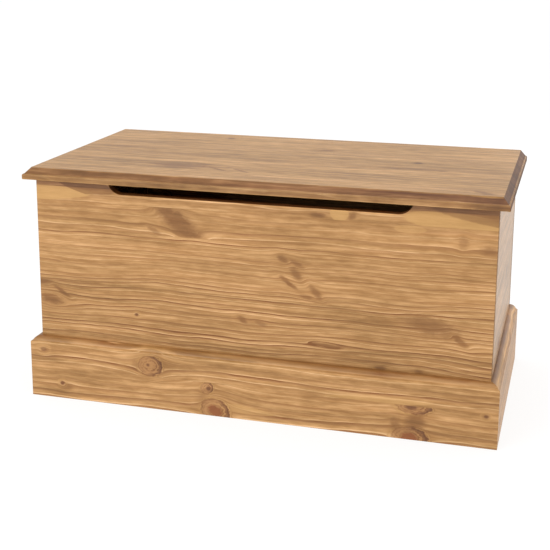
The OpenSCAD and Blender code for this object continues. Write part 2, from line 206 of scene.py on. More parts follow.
def inset(loop, distance):
    """The loop, which runs counterclockwise, moved inwards by distance."""
    points = [Vector(p) for p in loop]
    moved = []
    for i, p in enumerate(points):
        before, after = (p - points[i - 1]).normalized(), (points[(i + 1) % len(points)] - p).normalized()
        across = (before + after).normalized()
        stretch = 1 / max(0.3, across.dot(after))
        moved.append(tuple(p + Vector((-across.y, across.x)) * distance * stretch))
    return moved


def add_sheet(bm, outline, holes, thickness, arris, place):
    """A sheet with rounded arrises. outline runs counterclockwise. Each hole is (centre, [(radius, height)]).
    place turns (x, y, height) into a point of the object."""
    quarter = [(arris * (1 - math.sin(a)), arris * (1 - math.cos(a))) for a in (0, 0.5, 1.05, math.pi / 2)]
    walls = [[(inset(outline, d) if d else outline, h) for d, h in quarter + [
        (d, thickness - h) for d, h in reversed(quarter)]]]
    for centre, radii in holes:
        walls.append([(arc(centre, radius, 360, 15, 23), height) for radius, height in radii])
    caps = {0: [], thickness: []}
    for wall in walls:
        rings = [[bm.verts.new(place(x, y, height)) for x, y in loop] for loop, height in wall]
        for a, b in zip(rings, rings[1:]):
            skin(bm, a, b)
        for ring, end in ((rings[0], 0), (rings[-1], thickness)):
            caps[end] += [bm.edges.get((v, w)) for v, w in zip(ring, ring[1:] + ring[:1])]
    for edges in caps.values():
        bmesh.ops.triangle_fill(bm, use_beauty=True, use_dissolve=False, edges=edges)


def add_lathe(bm, profile, place, direction, segments=32, open_start=False):
    """A turned shape: profile is [(radius, distance along direction)]. Returns the first ring."""
    along = Vector(direction).normalized()
    side = along.orthogonal().normalized()
    other = along.cross(side)
    rings = []
    for radius, distance in profile:
        centre = Vector(place) + along * distance
        if radius == 0:
            rings.append([bm.verts.new(centre)])
        else:
            rings.append([bm.verts.new(centre + (side * math.cos(t) + other * math.sin(t)) * radius)
                          for t in (2 * math.pi * i / segments for i in range(segments))])
    for a, b in zip(rings, rings[1:]):
        for i in range(segments):
            j = (i + 1) % segments
            corners = [a[i % len(a)], a[j % len(a)], b[j % len(b)], b[i % len(b)]]
            bm.faces.new(list(dict.fromkeys(corners)))
    for ring, wanted in ((rings[0], not open_start), (rings[-1], True)):
        if wanted and len(ring) > 1:
            bm.faces.new(ring)
    return rings[0]


# ---------------------------------------------------------------- shader arithmetic

class Field:
    """A number or colour at each point of a surface. Arithmetic on fields adds shader nodes."""

    def __init__(self, tree, socket):
        self.tree, self.socket = tree, socket

    def math(self, operation, *inputs):
        node = self.tree.nodes.new("ShaderNodeMath")
        node.operation = operation
        for socket, value in zip(node.inputs, inputs):
            if isinstance(value, Field):
                self.tree.links.new(value.socket, socket)
            else:
                socket.default_value = value
        return Field(self.tree, node.outputs[0])

    def __add__(self, other):
        return self.math("ADD", self, other)

    __radd__ = __add__

    def __sub__(self, other):
        return self.math("SUBTRACT", self, other)

    def __rsub__(self, other):
        return self.math("SUBTRACT", other, self)

    def __mul__(self, other):
        return self.math("MULTIPLY", self, other)

    def __truediv__(self, other):
        return self.math("DIVIDE", self, other)

    def sqrt(self):
        return self.math("SQRT", self)

    def abs(self):
        return self.math("ABSOLUTE", self)

    def floor(self):
        return self.math("FLOOR", self)

    def fraction(self):
        return self.math("FRACT", self)

    def power(self, exponent):
        return self.math("POWER", self, exponent)

    def sine(self):
        return self.math("SINE", self)

    def at_least(self, least):
        return self.math("MAXIMUM", self, least)

    def at_most(self, most):
        return self.math("MINIMUM", self, most)

    def rise(self, low, high):
        """0 below low and 1 above high, with a smooth step between them. low may be above high."""
        node = self.tree.nodes.new("ShaderNodeMapRange")
        node.interpolation_type = "SMOOTHSTEP"
        self.tree.links.new(self.socket, node.inputs["Value"])
        node.inputs["From Min"].default_value = low
        node.inputs["From Max"].default_value = high
        return Field(self.tree, node.outputs["Result"])


def total(fields):
    result = None
    for field in fields:
        result = field if result is None else result + field
    return result


def mix(factor, a, b, blend="MIX", clamped=True):
    """The colour that goes from a to b as factor goes from 0 to 1."""
    tree = factor.tree
    node = tree.nodes.new("ShaderNodeMix")
    node.data_type = "RGBA"
    node.blend_type = blend
    node.clamp_factor = clamped
    tree.links.new(factor.socket, node.inputs["Factor"])
    for name, colour in (("A", a), ("B", b)):
        socket = next(s for s in node.inputs if s.name == name and s.type == "RGBA")
        if isinstance(colour, Field):
            tree.links.new(colour.socket, socket)
        else:
            socket.default_value = (*colour, 1)
    return Field(tree, next(s for s in node.outputs if s.type == "RGBA"))


class Grain:
    """A board's own measures at each point, in mm: along its grain, across its face and through it."""

    def __init__(self, tree, low, high, axes):
        self.tree = tree
        place = tree.nodes.new("ShaderNodeTexCoord")
        split = tree.nodes.new("ShaderNodeSeparateXYZ")
        tree.links.new(place.outputs["Object"], split.inputs[0])
        measures = []
        for sign, letter in axes:
            i = "xyz".index(letter)
            coordinate = Field(tree, split.outputs[i]) * 1000
            measures.append(coordinate - low[i] * 1000 if sign == "+" else high[i] * 1000 - coordinate)
        self.along, self.across, self.through = measures
        facing = tree.nodes.new("ShaderNodeSeparateXYZ")
        tree.links.new(place.outputs["Normal"], facing.inputs[0])
        self.end = Field(tree, facing.outputs["xyz".index(axes[0][1])]).abs().rise(0.45, 0.95)

    def noise(self, along, across, through, seed, detail):
        """Noise from -0.5 to 0.5 with features of those sizes in mm."""
        place = self.tree.nodes.new("ShaderNodeCombineXYZ")
        for socket, field in zip(place.inputs, (self.along / along + seed, self.across / across,
                                                self.through / through)):
            self.tree.links.new(field.socket, socket)
        node = self.tree.nodes.new("ShaderNodeTexNoise")
        node.inputs["Scale"].default_value = 1
        node.inputs["Detail"].default_value = detail
        self.tree.links.new(place.outputs[0], node.inputs["Vector"])
        return Field(self.tree, node.outputs["Fac"]) - 0.5

    def chance(self, number):
        """A random value from 0 to 1 for each whole number."""
        node = self.tree.nodes.new("ShaderNodeTexWhiteNoise")
        node.noise_dimensions = "1D"
        self.tree.links.new(number.socket, node.inputs["W"])
        return Field(self.tree, node.outputs["Value"])


def new_material(name):
    material = bpy.data.materials.new(name)
    material.use_nodes = True
    tree = material.node_tree
    return material, tree, tree.nodes["Principled BSDF"]


def add_bump(tree, shader, height, strength, distance):
    bump = tree.nodes.new("ShaderNodeBump")
    bump.inputs["Strength"].default_value = strength
    bump.inputs["Distance"].default_value = distance
    tree.links.new(height.socket, bump.inputs["Height"])
    tree.links.new(bump.outputs["Normal"], shader.inputs["Normal"])


def shown(red, green, blue):
    """The paint that shows on the chest's front as these 0 to 255 screen values, under its wax."""
    gloss, light = 0.035, 1.08
    linear = [((c / 255 + 0.055) / 1.055) ** 2.4 for c in (red, green, blue)]
    return tuple(max(0.008, (c - gloss) / light) for c in linear)


# ---------------------------------------------------------------- pine

class Stave:
    """One glued strip of a board: where it starts and ends across the face, the tree's heart as a
    place across the face and a depth behind it, the width of a year's growth, how strongly the years
    show, and the strip's tone."""

    def __init__(self, start, end, heart, depth, year, contrast, tone):
        self.start, self.end, self.heart, self.depth = start, end, heart, depth
        self.year, self.contrast, self.tone = year, contrast, tone


class Mark:
    """A feature of the wood. kind is knot, red (a knot with a red heart), pin (a small dark knot), smudge
    (a branch cut at a slant), light (a pale streak), tongue (a pale growth layer cut flat) or wedge (a
    dark one). along and across place its centre, or the middle of a tongue's root. radius is its
    half-height, stretch its length over its height, and tilt its slope down to the right. depth is how
    strongly it shows. bend is how far it pushes the growth lines aside. stave is the number of the
    strip that it stays in."""

    BEND = {"knot": 1.0, "red": 1.0, "smudge": 0.35, "pin": 0.8, "light": 0, "tongue": 0, "wedge": 0}

    def __init__(self, kind, along, across, radius, stretch=1.4, tilt=0, depth=1.0, bend=None, stave=None):
        self.kind, self.along, self.across, self.radius = kind, along, across, radius
        self.stretch, self.tilt, self.depth, self.stave = stretch, tilt, depth, stave
        self.bend = self.BEND[kind] if bend is None else bend


LIGHT = shown(224, 180, 128)
PALE = shown(204, 157, 105)
BODY = shown(186, 138, 88)
LATE = shown(160, 112, 66)
DARK = shown(138, 92, 38)
KNOT_RIM = shown(120, 80, 44)
KNOT_HEART = shown(190, 140, 94)
RED_HEART = shown(150, 90, 42)
SMUDGE = shown(143, 100, 64)
SAPWOOD = shown(214, 167, 108)
# The colour that darkens stained wood and painted shade; a negative amount of it makes painted highlights.
STAIN_AND_PAINTED_LIGHT = (0.30, 0.17, 0.10)
DEPTH = (0.92, 0.84, 0.52)  # where the wood is darker, it is yellower too


def of_mark(grain, mark):
    """(distance from the mark's centre in radii, place along it in half-lengths, height above it in mm)."""
    dx, dy = grain.along - mark.along, grain.across - mark.across
    if mark.tilt:
        c, s = math.cos(math.radians(mark.tilt)), math.sin(math.radians(mark.tilt))
        lengthwise, crosswise = dx * c + dy * s, dy * c - dx * s
    else:
        lengthwise, crosswise = dx, dy
    lengthwise, crosswise = lengthwise / (mark.radius * mark.stretch), crosswise / mark.radius
    if mark.kind in ("tongue", "wedge"):
        return lengthwise.abs() + crosswise * crosswise, lengthwise, dy
    return (lengthwise * lengthwise + crosswise * crosswise).sqrt(), lengthwise, dy


GLUE_LINE = 0.15  # half the width, in mm, over which one stave gives way to the next


def pine(name, node, axes, staves, marks, seed, tint=None, stain_and_painted_light=None, roughness=0.42, gloss=1.5,
         contrast=1.0):
    """Pine, cut so that the growth rings, knots and glue lines run through the board's thickness."""
    low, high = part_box(node)
    material, tree, shader = new_material(name)
    grain = Grain(tree, low, high, axes)
    members = [grain.across.rise(s.start - GLUE_LINE, s.start + GLUE_LINE)
               * grain.across.rise(s.end + GLUE_LINE, s.end - GLUE_LINE) for s in staves]
    nothing = grain.along * 0
    everywhere = nothing + 1.0

    def of_stave(value):
        return total([member * value(stave) for member, stave in zip(members, staves)])

    # Growth lines pass round each knot as a stream passes round a stone.
    shifts, discs, reds, rings, rims, smudges, lights, halos = ([] for _ in range(8))
    ragged = grain.noise(11, 5, 30, seed + 3, 2.5)
    for mark in marks:
        member = members[mark.stave] if mark.stave is not None else 1.0
        distance, lengthwise, dy = of_mark(grain, mark)
        if mark.bend:
            push = dy * mark.bend / (distance * distance).at_least(1.0)
            shifts.append(push * distance.rise(5.0, 1.5) * member)
        if mark.kind in ("knot", "red"):
            rough = distance + ragged * 0.55
            discs.append(rough.rise(1.04, 0.92) * mark.depth * member)
            if mark.kind == "red":
                reds.append(rough.rise(0.60, 0.40) * mark.depth * member)
            line = ((rough * 4.3).fraction() - 0.5).abs().rise(0.34, 0.04)
            crescent = lengthwise.rise(-0.4, 0.7) * 0.85 + 0.15
            rings.append(line * rough.rise(1.45, 1.1) * rough.rise(0.3, 0.5) * member
                         * (0.35 + crescent * 0.7 + ragged * 2.0))
            rims.append((rough - 0.98).abs().rise(0.20, 0.03) * crescent * mark.depth * member)
            lights.append((rough - 1.24).abs().rise(0.14, 0.02) * 0.5 * mark.depth * member)
        elif mark.kind in ("light", "tongue"):
            lights.append((distance + ragged * 0.12).rise(1.03, 0.88) * mark.depth * member)
        # On the front panel the wedges under the lid are partly wood figure and partly painted shade.
        elif mark.kind == "wedge":
            smudges.append((distance + ragged * 0.12).rise(1.05, 0.9) * 0.55 * mark.depth * member)
        else:
            edge = 0.35 if mark.kind == "smudge" else 0.2
            smudges.append((distance + ragged * 0.8).rise(1.3, edge) * mark.depth * member)
            if mark.kind == "pin":
                rims.append((distance + ragged * 0.6).rise(0.9, 0.4) * mark.depth * member)
                lights.append((distance - 1.6).abs().rise(0.4, 0.1) * 0.4 * mark.depth * member)
        if mark.bend:
            halos.append(distance.rise(2.4, 0.8) * (0.5 * mark.depth) * member)
    disc, red, ring, rim, smudge, light, halo = (
        total(f).at_most(1.0) if f else nothing
        for f in (discs, reds, rings, rims, smudges, lights, halos))
    joints = total([(grain.across - s.start).abs().rise(0.5, 0.1) for s in staves[1:]] or [nothing])
    grain.across = grain.across - total(shifts or [nothing])

    # Growth rings
    rise = grain.across - of_stave(lambda s: s.heart)
    depth = of_stave(lambda s: s.depth) - grain.through
    waver = grain.noise(300, 110, 90, seed, 1.5) * 26 + grain.noise(80, 22, 30, seed + 9, 2) * 5
    years = ((rise * rise + depth * depth).sqrt() + waver) / of_stave(lambda s: s.year)
    season = years.fraction()
    vigour = grain.chance(years.floor() + of_stave(lambda s: 37.0 * s.start + 11)).power(1.8) + 0.12
    late = season.rise(0.35, 0.97) * season.rise(1.0, 0.97)
    early = season.rise(0.20, 0.02)
    streaks = grain.noise(170, 6, 12, seed + 20, 3)
    patches = grain.noise(34, 9, 20, seed + 30, 2)
    bands = grain.noise(230, 15, 40, seed + 50, 2)
    vigour = vigour * of_stave(lambda s: s.contrast * contrast) * (1.0 + bands * 2.4).at_least(0.25)
    fibre = grain.noise(24, 1.5, 1.5, seed + 40, 2)
    fine = grain.noise(9, 0.6, 0.6, seed + 60, 1)
    colour = mix((streaks + patches * 0.6).rise(-0.24, 0.24), BODY, PALE)
    colour = mix((late * vigour * (0.85 + patches * 2.2)).at_most(1.0), colour, DARK)
    colour = mix((early * vigour * (1.5 + patches * 2.5)).at_most(1.0), colour, LIGHT)

    # Sapwood, smudges and knots
    colour = mix(light * 0.9, colour, SAPWOOD)
    colour = mix(halo * 0.35, colour, LATE)
    colour = mix((smudge * (0.80 + streaks)).at_most(1.0), colour, SMUDGE)
    colour = mix(disc * 0.6, colour, KNOT_HEART)
    colour = mix(red * 0.85, colour, RED_HEART)
    colour = mix(ring * 0.8, colour, DARK)
    colour = mix(rim * 0.8, colour, KNOT_RIM)

    # Fibres, resin canals, glue lines, end grain and the tone of each stave
    canals = grain.noise(6.5, 0.7, 0.7, seed + 100, 0).rise(0.24, 0.32)
    variety = fibre * 0.40 + fine * 0.14 + patches * 0.34 + streaks * 0.35 + bands * 0.78
    shade = 1.0 + variety * (1.0 - light * 0.6) * contrast + grain.noise(260, 70, 60, seed + 80, 2) * 0.45
    shade = shade + of_stave(lambda s: s.tone) - canals * 0.14 - joints * 0.10
    shade = shade * (1.0 - grain.end * 0.34)
    colour = mix(everywhere, colour, shade, "MULTIPLY")
    colour = mix((1.0 - shade) * 2.0, colour, DEPTH, "MULTIPLY", False)
    # Stained wood and painted shade are darkened here, and painted highlights lightened.
    if stain_and_painted_light is not None:
        colour = mix(stain_and_painted_light(grain), colour, STAIN_AND_PAINTED_LIGHT, "MULTIPLY", False)
    if tint is not None:
        colour = mix(everywhere, colour, tint, "MULTIPLY")
    tree.links.new(colour.socket, shader.inputs["Base Color"])
    sheen = roughness + fibre * 0.15 + streaks * 0.12 + grain.end * 0.3
    tree.links.new(sheen.socket, shader.inputs["Roughness"])
    shader.inputs["IOR"].default_value = gloss
    height = late * 0.35 + fibre * 0.5 + fine * 0.25 - canals * 0.5 - rim * 0.3 - joints * 0.2
    add_bump(tree, shader, height, 0.35, 0.10 * MM)
    return material


def random_staves(rng, height, count):
    """Glued strips of equal width, each from a different part of a tree."""
    year = 4.8
    edges = [i * height / count for i in range(count + 1)]
    edges[0], edges[-1] = -30, height + 30
    return [Stave(a, b, rng.choice((a - 70, b + 70)) + rng.uniform(-40, 40), rng.uniform(25, 60),
                  year * rng.uniform(0.85, 1.3), rng.uniform(0.6, 1.0), rng.uniform(-0.06, 0.06))
            for a, b in zip(edges, edges[1:])]


def random_marks(rng, length, height, count):
    """Knots, smudges and pins anywhere on a board of this length and height in mm."""
    marks = []
    for _ in range(count):
        kind = rng.choice(("knot", "red", "smudge", "smudge", "pin"))
        radius = rng.uniform(2.5, 4) if kind == "pin" else rng.uniform(6, 11)
        marks.append(Mark(kind, rng.uniform(40, length - 40), rng.uniform(15, height - 15), radius,
                          rng.uniform(1.2, 2.4), rng.uniform(-25, 35)))
    return marks


PLAIN_TINT = (1.22, 1.34, 1.75)


def plain_pine(node, axes, seed):
    """Sanded pine without a finish, as it is used where it hardly shows."""
    low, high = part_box(node)
    rng = random.Random(seed)
    size = [high["xyz".index(letter)] / MM - low["xyz".index(letter)] / MM for _, letter in axes]
    staves = [Stave(-50, size[1] + 50, rng.uniform(-60, -20), rng.uniform(20, 50), 3.4, 0.8, 0)]
    marks = [Mark(rng.choice(("knot", "pin")), rng.uniform(30, size[0] - 30),
                  rng.uniform(4, size[1] - 4), 4.0)]
    return pine("pine_" + node, node, axes, staves, marks, seed=200.0 + seed, tint=PLAIN_TINT,
                roughness=0.62, gloss=1.35)


# ---------------------------------------------------------------- the carcass

ARRIS = 0.8 * MM
SCREW_PLAY = 0.05 * MM


def front_panel(screws):
    """The front panel with its finger recess and the holes of the plinth's screws."""
    low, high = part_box("front_panel")
    recess_depth, recess_half, radius = 20 * MM, 243 * MM, 25 * MM
    floor = high.z - recess_depth
    reach = math.degrees(math.acos((radius - recess_depth) / radius))
    right = arc((recess_half, floor + radius), radius, -90, -90 + reach, 10)
    outline = [(low.x, low.z), (high.x, low.z), (high.x, high.z)] + right[::-1]
    outline += [(-x, z) for x, z in right] + [(low.x, high.z)]
    thickness = high.y - low.y
    holes = []
    for screw in screws:
        if abs(screw.head.y - high.y) < 0.1 * MM:
            holes.append(((screw.head.x, screw.head.z), [
                (screw.head_radius + SCREW_PLAY, 0), (screw.radius + SCREW_PLAY, screw.head_height),
                (screw.radius + SCREW_PLAY, thickness)]))
    bm = bmesh.new()
    add_sheet(bm, outline, holes, thickness, ARRIS, lambda x, z, height: (x, high.y - height, z))
    staves = [
        Stave(-40, 37, 90, 30, 12.0, 0.5, -0.02), Stave(37, 87.5, 175, 45, 10.5, 0.9, 0.02),
        Stave(87.5, 185, 300, 60, 6.2, 0.8, 0.03), Stave(185, 277, 335, 40, 6.6, 1.15, -0.03),
        Stave(277, 440, 420, 60, 5.6, 0.9, -0.13),
    ]
    marks = [
        Mark("tongue", -4, 24.5, 16, 7.3, -2, 1.0, stave=0),
        # This wedge under the lid is partly wood figure and partly painted shade.
        Mark("wedge", 96, 8, 15, 3.8, 8, 1.5, stave=0),
        Mark("light", 738, 27, 17, 5.0, 3, 1.0, stave=0), Mark("light", 668, 44, 7, 4.0, 0, 0.5),
        # This wedge under the lid is partly wood figure and partly painted shade.
        Mark("wedge", 812, 0, 32, -3.6, 0, 1.3, stave=0),
        Mark("smudge", 264, 62, 17, 3.4, 41, 1.0, 0.5, stave=1),
        Mark("smudge", 286, 66, 13, 3.2, 42, 0.45, 0, stave=1),
        Mark("smudge", 222, 79, 5, 3.4, 28, 0.6, stave=1),
        Mark("smudge", 513, 31, 5, 2.8, 0, 0.95, stave=0), Mark("light", 550, 26, 13, 1.3, 0, 1.0, stave=0),
        Mark("smudge", 572, 29, 6, 1.6, -40, 0.7, stave=0),
        Mark("smudge", 755, 60, 12, 0.7, 0, 0.5, stave=1), Mark("smudge", 797, 71, 9, 1.7, 0, 0.6, stave=1),
        Mark("smudge", 454, 112, 6, 2.0, 30, 0.8, stave=2),
        Mark("smudge", 478, 118, 5, 3.2, 28, 0.85, stave=2),
        Mark("smudge", 477, 136, 8, 1.9, 50, 0.9, stave=2),
        Mark("smudge", 458, 148, 4.5, 3.0, 38, 0.9, stave=2),
        Mark("smudge", 471, 158, 4, 3.2, 30, 0.9, stave=2),
        Mark("smudge", 512, 166, 7, 2.4, 52, 0.9, stave=2),
        Mark("smudge", 495, 175, 4, 3.0, 12, 0.9, stave=2),
        Mark("smudge", 21, 222, 9, 2.7, 6, 1.0, 1.5, stave=3),
        Mark("smudge", 42, 205, 4, 4.6, 34, 1.0, 0.3, stave=3),
        Mark("smudge", 4, 190, 8, 2.4, 0, 0.9, stave=3),
        Mark("smudge", 706, 206, 17, 3.0, 10, 0.8, 0.2, stave=3),
        Mark("smudge", 757, 228, 6, 2.6, 36, 0.9, 0.5, stave=3),
        Mark("smudge", 383, 227, 5.5, 1.9, 30, 1.0, stave=3),
        Mark("smudge", 416, 230, 5, 2.6, 14, 0.7, stave=3),
        Mark("pin", 186, 236, 3.6, 1.3, 0, 0.9, stave=3),
        Mark("smudge", 530, 258, 4, 6, 4, 0.6, 1.5, stave=3),
        Mark("smudge", 625, 289, 5, 2.2, 0, 0.9, stave=4), Mark("smudge", 690, 289, 4, 2.0, 0, 0.8, stave=4),
    ]

    def stain_and_painted_light(grain):
        """Painted shadow darkens the face along the lid's edge. The finger recess is darkened, partly as
        stained cut wood and partly as painted shade. A painted highlight lightens the face along the recess's
        lower arris.
        """
        middle, recess_end, sill_end, sill_line = 405, 268, 235, 21.3
        off_middle = (grain.along - middle).abs()
        # Painted shadow under the lid's edge, about 12 mm deep; it stays when the lid is open.
        painted_lid_shadow = grain.across.rise(12.8, 10.4) * 0.52 + grain.across.rise(18, 11) * 0.08
        # The recess is darkened: partly stained cut wood, partly painted shade.
        cut = grain.across.rise(24, 21) * off_middle.rise(recess_end + 1, recess_end - 1)
        # Painted highlight on the face along the recess's lower arris.
        sill_highlight = (grain.across - sill_line).abs().rise(1.4, 0.4) * off_middle.rise(sill_end + 3, sill_end - 3)
        front = grain.through.rise(0.9, 0.5)
        return cut * (1.0 - front) * 0.85 + front * (painted_lid_shadow - sill_highlight * 0.3)

    material = pine("pine_front", "front_panel", ("+x", "-z", "+y"), staves, marks, seed=2.0, stain_and_painted_light=stain_and_painted_light)
    stand_for("front_panel", bm, material)


def side_panel(node, outer):
    """A side panel. outer is -1 for the left one and 1 for the right one."""
    rng = random.Random(51 + outer)
    length, height = 384, 403
    material = pine("pine_" + node, node, ("+y", "-z", "-x" if outer > 0 else "+x"),
                    random_staves(rng, height, 6), random_marks(rng, length, height, 7), seed=60.0 + outer,
                    tint=(1.05, 1.12, 1.3), roughness=0.34)
    stand_for(node, eased_copy(node, ARRIS), material)


def back_panel():
    rng = random.Random(71)
    length, height = 810, 400
    material = pine("pine_back", "back_panel", ("+x", "-z", "-y"), random_staves(rng, height, 5),
                    random_marks(rng, length, height, 9), seed=80.0)
    stand_for("back_panel", eased_copy("back_panel", ARRIS), material)


def plinth_section(height, thickness):
    """The plinth's moulded section, as points (distance in from the outer face, height) in mm."""
    radius, sweep, ledge, nose = 12, 75, 1.5, 1.5
    ovolo = arc((thickness - ledge, height - radius), radius, 90 + sweep - 8, 90, 12)
    points = [(thickness, 0)] + arc((0.8, 0.8), 0.8, 270, 180, 3)
    points += arc((nose, ovolo[0][1] - nose - 1.2), nose, 180, 130, 5)
    return points + ovolo + [(thickness, height)]


def plinth_painted_shade_and_highlight(grain):
    """Painted shade along the top, where the moulding meets the panel, and a painted highlight along its
    nose.
    """
    # Painted shade at the top edge; painted highlight about 10.5 mm down, on the nose.
    return grain.across.rise(1.2, 0.2) * 0.15 - (grain.across - 10.5).abs().rise(1.6, 0.3) * 0.20


def plinth_side_painted_shade_and_highlights(grain):
    """The same on a side: painted shade where the moulding meets the panel and in its quirk, and painted
    highlights on its two ridges.
    """
    # Painted highlights on the moulding's two ridges.
    ridge_highlights = (grain.across - 5.5).abs().rise(3.0, 1.0) + (grain.across - 12.5).abs().rise(2.0, 0.5)
    # Painted shade at the top edge and in the quirk, less the ridge highlights.
    return grain.across.rise(2.2, 1.0) * 0.45 + (grain.across - 9.5).abs().rise(1.0, 0.3) * 0.3 - ridge_highlights * 0.6


def plinth_front():
    low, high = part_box("plinth_front")
    section = plinth_section((high.z - low.z) / MM, (high.y - low.y) / MM)
    bm = loft([[(side * (high.x - d * MM), low.y + d * MM, height * MM) for d, height in section]
               for side in (-1, 1)])
    staves = [Stave(-30, 52, 130, 40, 9.5, 0.75, 0.0), Stave(52, 150, 175, 40, 11.0, 0.75, 0.01)]
    marks = [
        Mark("knot", 232, 32, 17, 1.25, 0, 1.0, 0.9, stave=0),
        Mark("smudge", 205, 34, 10, 1.0, 0, 0.35, 0, stave=0),
        Mark("pin", 228, 31, 3.6, 1.2, 0, 0.9, 0, stave=0),
        Mark("knot", 338, 62, 10, 1.15, -35, 1.0, 1.0, stave=1),
        Mark("pin", 341, 62, 6, 1.0, 0, 1.0, 0, stave=1),
        Mark("red", 353, 103, 20, 1.25, 20, 1.0, 1.0, stave=1),
        Mark("smudge", 330, 84, 12, 1.3, 70, 0.4, 0, stave=1),
        Mark("knot", 702, 50, 15, 1.9, 0, 1.0, 0.8, stave=1),
        Mark("pin", 698, 52, 10, 1.5, 0, 1.0, 0, stave=1),
        Mark("smudge", 706, 78, 18, 1.2, -60, 0.9, 0.3, stave=1),
        Mark("smudge", 672, 88, 10, 1.3, 80, 0.7, 0.2, stave=1),
        Mark("red", 696, 110, 19, 1.5, 0, 1.0, 1.0, stave=1),
        Mark("pin", 60.5, 84, 5.0, 1.1, 0, 1.0), Mark("smudge", 70, 89, 8, 1.4, 0, 0.4),
        Mark("pin", 25, 22, 6, 1.4, 0, 0.5), Mark("pin", 822, 56, 4.5, 1.3, 0, 0.8),
        Mark("tongue", 640, 48, 7, 14, -2, 0.6, stave=0), Mark("tongue", 400, 94, 8, 8, 4, 0.6, stave=1),
    ]
    material = pine("pine_plinth", "plinth_front", ("+x", "-z", "+y"), staves, marks, seed=23.0,
                    stain_and_painted_light=plinth_painted_shade_and_highlight, contrast=1.15)
    stand_for("plinth_front", bm, material)


def plinth_side(node, outer):
    """A side board of the plinth, mitred in front. outer is -1 on the left and 1 on the right."""
    low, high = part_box(node)
    section = plinth_section((high.z - low.z) / MM, (high.x - low.x) / MM)
    face = high.x if outer > 0 else low.x
    bm = loft([[(face - outer * d * MM, low.y + d * MM, height * MM) for d, height in section],
               [(face - outer * d * MM, high.y, height * MM) for d, height in section]])
    rng = random.Random(31 + outer)
    length, height = 436, 113
    material = pine("pine_" + node, node, ("+y", "-z", "-x" if outer > 0 else "+x"),
                    random_staves(rng, height, 2), random_marks(rng, length, height, 3), seed=40.0 + outer,
                    stain_and_painted_light=plinth_side_painted_shade_and_highlights)
    stand_for(node, bm, material)


def carcass_inside():
    """Posts, battens and the base, which keep their screw holes."""
    seed = 1
    for node in ("base_batten_front", "base_batten_back", "base_batten_left", "base_batten_right"):
        along = "x" if node.endswith(("front", "back")) else "y"
        axes = ("+" + along, "+z", "+y" if along == "x" else "+x")
        stand_for(node, eased_copy(node, ARRIS), plain_pine(node, axes, seed))
        seed += 1
    for node in ("corner_post_front_left", "corner_post_front_right", "corner_post_back_left",
                 "corner_post_back_right"):
        stand_for(node, eased_copy(node, ARRIS), plain_pine(node, ("+z", "+x", "+y"), seed))
        seed += 1
    stand_for("base_panel", eased_copy("base_panel", 0.3 * MM), plywood())


def plywood():
    """Birch plywood: a plain face veneer with long faint figure, and darker and paler plies at its edges."""
    low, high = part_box("base_panel")
    material, tree, shader = new_material("plywood")
    grain = Grain(tree, low, high, ("+x", "+y", "+z"))
    figure = grain.noise(420, 60, 40, 3, 3)
    lines = ((grain.across + figure * 90) / 11).sine() * 0.5 + 0.5
    fibre = grain.noise(26, 0.9, 0.9, 7, 2)
    face = mix(lines * 0.5 + figure, shown(214, 184, 142), shown(200, 165, 120))
    plies = (grain.through / 1.2).floor()
    ply = mix(grain.chance(plies + 5), shown(150, 110, 70), shown(205, 170, 125))
    inside = grain.through.rise(0.9, 1.0) * grain.through.rise(5.1, 5.0)
    colour = mix(inside, face, ply)
    shade = 1.0 + fibre * 0.35 + grain.noise(90, 90, 90, 9, 3) * 0.12
    everywhere = inside * 0 + 1.0
    colour = mix(everywhere, colour, shade, "MULTIPLY")
    tree.links.new(colour.socket, shader.inputs["Base Color"])
    sheen = 0.6 + fibre * 0.2
    tree.links.new(sheen.socket, shader.inputs["Roughness"])
    shader.inputs["IOR"].default_value = 1.4
    add_bump(tree, shader, fibre + inside * grain.chance(plies) * 0.6, 0.3, 0.12 * MM)
    return material


# ---------------------------------------------------------------- the lid

LID_BEVEL = 12  # how far in the lid's moulding reaches, in mm


def lid_section(thickness):
    """The lid's moulded edge, as points (distance in from the outermost face, height) in mm."""
    nose_radius, nose_height, shoulder, step = 2.4, 7.5, 0.6, 0.8
    points = arc((0.8, 0.8), 0.8, 270, 180, 3)
    points += arc((nose_radius, nose_height), nose_radius, 180, 90, 8)
    points += [(nose_radius + shoulder, nose_height + nose_radius)]
    points += [(LID_BEVEL - 0.15, thickness - step - 0.15)]
    points += [(LID_BEVEL, thickness - step + 0.1), (LID_BEVEL, thickness - 0.3)]
    return points + [(LID_BEVEL + 0.1, thickness - 0.1), (LID_BEVEL + 0.3, thickness)]


